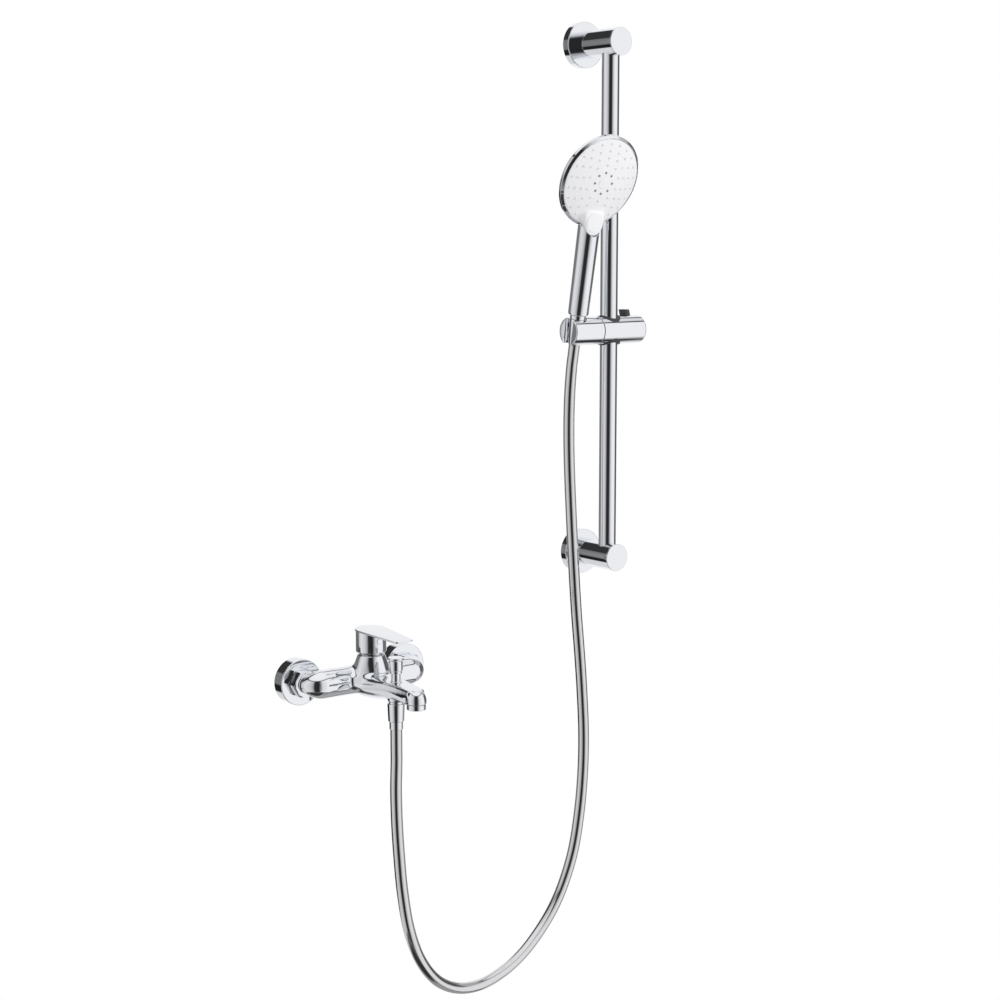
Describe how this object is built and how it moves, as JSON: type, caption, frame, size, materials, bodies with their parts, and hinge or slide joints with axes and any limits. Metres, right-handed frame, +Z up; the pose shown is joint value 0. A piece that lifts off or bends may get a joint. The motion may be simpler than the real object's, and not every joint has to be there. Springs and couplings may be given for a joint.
{
  "type": "bath shower mixer",
  "caption": "Wall-mounted single-lever bath and shower mixer with pull-up diverter, metal hose, riser rail, slider and round hand shower",
  "frame": {"origin": "on the wall, midway between the two water inlets", "axes": "+X right along the wall, +Y into the wall, +Z up; the front is -Y"},
  "size_m": [0.5168, 0.1957, 1.2122],
  "materials": {
    "chrome_plate": "polished chrome plate",
    "brass_raw": "turned brass",
    "steel_small": "stainless steel",
    "rubber_black": "moulded rubber",
    "ceramic_disc": "ground ceramic",
    "plastic_dark": "moulded plastic",
    "plastic_inner": "moulded plastic",
    "plastic_white": "glossy moulded plastic",
    "silicone_mat": "soft silicone",
    "hose_metal": "wound metal strip, satin chrome"
  },
  "bodies": {
    "fixed": {"mixer_body": "chrome_plate", "union_left": "brass_raw", "union_right": "brass_raw", "escutcheon_left": "chrome_plate", "escutcheon_right": "chrome_plate", "union_nut_left": "chrome_plate", "union_nut_right": "chrome_plate", "union_washers": "rubber_black", "cartridge_base": "plastic_dark", "cartridge_housing": "plastic_inner", "fixed_disc": "ceramic_disc", "cartridge_nut": "brass_raw", "cap_ring": "chrome_plate", "diverter_bush": "chrome_plate", "diverter_spring": "steel_small", "aerator_housing": "chrome_plate", "aerator_insert": "plastic_inner", "aerator_washer": "rubber_black", "hose_nipple": "chrome_plate", "hose_nut_lower": "chrome_plate", "hose_ferrule_lower": "chrome_plate", "hose_washer_lower": "rubber_black", "shower_hose": "hose_metal", "rail_bar": "chrome_plate", "rail_post_top": "chrome_plate", "rail_post_bottom": "chrome_plate", "rail_flange_top": "chrome_plate", "rail_flange_bottom": "chrome_plate", "post_cap_top": "chrome_plate", "post_cap_bottom": "chrome_plate", "wall_hubs": "steel_small", "wall_screws": "steel_small", "grub_screws": "steel_small"},
    "driver": {"cartridge_driver": "plastic_inner", "cartridge_pin": "steel_small"},
    "lever_body": {"lever": "chrome_plate", "cartridge_spindle": "steel_small", "lever_screw": "steel_small", "lever_plug": "chrome_plate"},
    "disc": {"moving_disc": "ceramic_disc"},
    "diverter": {"diverter_knob": "chrome_plate", "diverter_stem": "steel_small", "diverter_seal": "rubber_black"},
    "bush": {"slider_bush": "plastic_dark"},
    "slider": {"slider_body": "chrome_plate", "holder_pivot": "steel_small", "button_spring": "steel_small"},
    "release": {"slider_button": "plastic_dark"},
    "holder_body": {"holder": "chrome_plate"},
    "hand_shower": {"handset_shell": "chrome_plate", "handset_nipple": "chrome_plate", "water_plate": "plastic_inner", "nozzle_mat": "silicone_mat", "jet_insert": "plastic_dark", "face_plate": "plastic_white", "hose_nut_upper": "chrome_plate", "hose_washer_upper": "rubber_black"},
    "mode": {"mode_button": "plastic_white", "mode_valve": "plastic_inner"}
  },
  "joints": [
    {"name": "lever_turn", "type": "hinge", "parent": "fixed", "child": "driver", "pos_m": [0, -0.054, 0.022], "axis": [0, 0, 1], "range_deg": [-45, 45]},
    {"name": "lever_lift", "type": "hinge", "parent": "driver", "child": "lever_body", "pos_m": [0, -0.054, 0.022], "axis": [-1, 0, 0], "range_deg": [0, 25]},
    {"name": "disc_shift", "type": "slide", "parent": "driver", "child": "disc", "axis": [0, -1, 0], "range_m": [0, 0.0026]},
    {"name": "diverter_pull", "type": "slide", "parent": "fixed", "child": "diverter", "axis": [0, 0, 1], "range_m": [0, 0.006], "stiffness_N_per_m": 300, "springref_m": -0.004, "deforming": ["diverter_spring"]},
    {"name": "slider_slide", "type": "slide", "parent": "fixed", "child": "bush", "axis": [0, 0, 1], "range_m": [-0.24, 0.15], "deforming": ["shower_hose"]},
    {"name": "slider_swivel", "type": "hinge", "parent": "bush", "child": "slider", "pos_m": [0.3645, -0.0595, 0.408], "axis": [0, 0, 1], "range_deg": [-25, 45], "deforming": ["shower_hose"]},
    {"name": "release_press", "type": "slide", "parent": "slider", "child": "release", "axis": [0, -0.2924, -0.9563], "range_m": [0, 0.003], "stiffness_N_per_m": 800, "springref_m": -0.002, "deforming": ["button_spring"]},
    {"name": "holder_tilt", "type": "hinge", "parent": "slider", "child": "holder_body", "pos_m": [0.3105, -0.0595, 0.408], "axis": [1, 0, 0], "range_deg": [-2, 45], "deforming": ["shower_hose"]},
    {"name": "handset_lift", "type": "slide", "parent": "holder_body", "child": "hand_shower", "axis": [0, -0.1822, 0.9833], "range_m": [0, 0.045], "deforming": ["shower_hose"]},
    {"name": "mode_press", "type": "slide", "parent": "hand_shower", "child": "mode", "axis": [0, 0.9833, 0.1822], "range_m": [0, 0.0025], "stiffness_N_per_m": 800, "springref_m": -0.002}
  ],
  "couplings": [
    {"joint": "disc_shift", "follows": "lever_lift", "m_per_rad": 0.0055}
  ]
}
